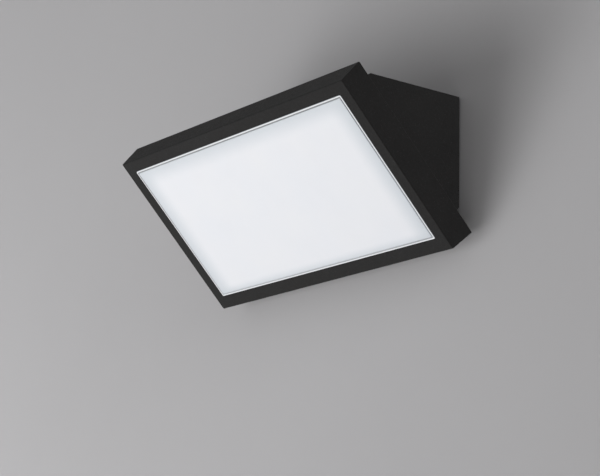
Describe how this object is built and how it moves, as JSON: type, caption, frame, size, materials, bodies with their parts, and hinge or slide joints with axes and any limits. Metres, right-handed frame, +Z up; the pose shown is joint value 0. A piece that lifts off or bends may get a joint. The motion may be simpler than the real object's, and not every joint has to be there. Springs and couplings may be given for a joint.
{
  "type": "outdoor wall light",
  "caption": "Slanted rectangular LED wall light: black cast frame with a lit opal diffuser, tilted 45 degrees on a right-angled rear housing with a wall plate.",
  "frame": {"origin": "centre of the wall plate's back face, in the wall's plane, midway between its two fixing slots", "axes": "+Y into the wall, +Z up, +X to the right for someone who faces the wall"},
  "size_m": [0.2224, 0.0935, 0.0925],
  "materials": {
    "black_paint": "satin black powder coat, fine texture",
    "opal": "opal polycarbonate, lit from behind",
    "silicone": "matt silicone",
    "stainless": "plain stainless",
    "white_plastic": "matt white moulding",
    "solder_mask": "white solder mask on aluminium",
    "led_phosphor": "phosphor yellow",
    "thermal_silicone": "soft silicone pad",
    "black_rubber": "matt black rubber",
    "lead_sleeve": "insulated copper lead",
    "driver_plastic": "dark moulding",
    "potting_resin": "grey potting resin",
    "earth_sleeve": "green and yellow sleeve",
    "tinned_copper": "tinned copper",
    "brass": "plain brass",
    "zinc_plate": "zinc-plated pressed steel",
    "foam_rubber": "closed-cell foam",
    "block_plastic": "natural polyamide",
    "black_screw": "blackened stainless"
  },
  "bodies": {
    "root": {"front_frame": "black_paint", "diffuser": "opal", "diffuser_gasket": "silicone", "rear_housing": "black_paint", "frame_seal": "silicone", "frame_screws": "stainless", "reflector": "white_plastic", "led_board": "solder_mask", "led_packages": "led_phosphor", "board_connector": "white_plastic", "thermal_pad": "thermal_silicone", "board_screws": "stainless", "lead_grommet": "black_rubber", "led_leads": "lead_sleeve", "driver_case": "driver_plastic", "driver_potting": "potting_resin", "driver_screws": "stainless", "supply_leads": "lead_sleeve", "earth_lead": "earth_sleeve", "earth_ring": "tinned_copper", "earth_washer": "stainless", "earth_screw": "brass", "wall_plate": "zinc_plate", "wall_gasket": "foam_rubber", "cable_grommet": "black_rubber", "terminal_block": "block_plastic", "terminal_cages": "brass", "terminal_screws": "stainless", "terminal_fixings": "stainless", "cover_screws": "black_screw", "cover_seals": "black_rubber", "lug_nuts": "stainless", "lug_brackets": "zinc_plate", "hook_brackets": "zinc_plate", "bracket_rivets": "stainless"}
  },
  "joints": []
}
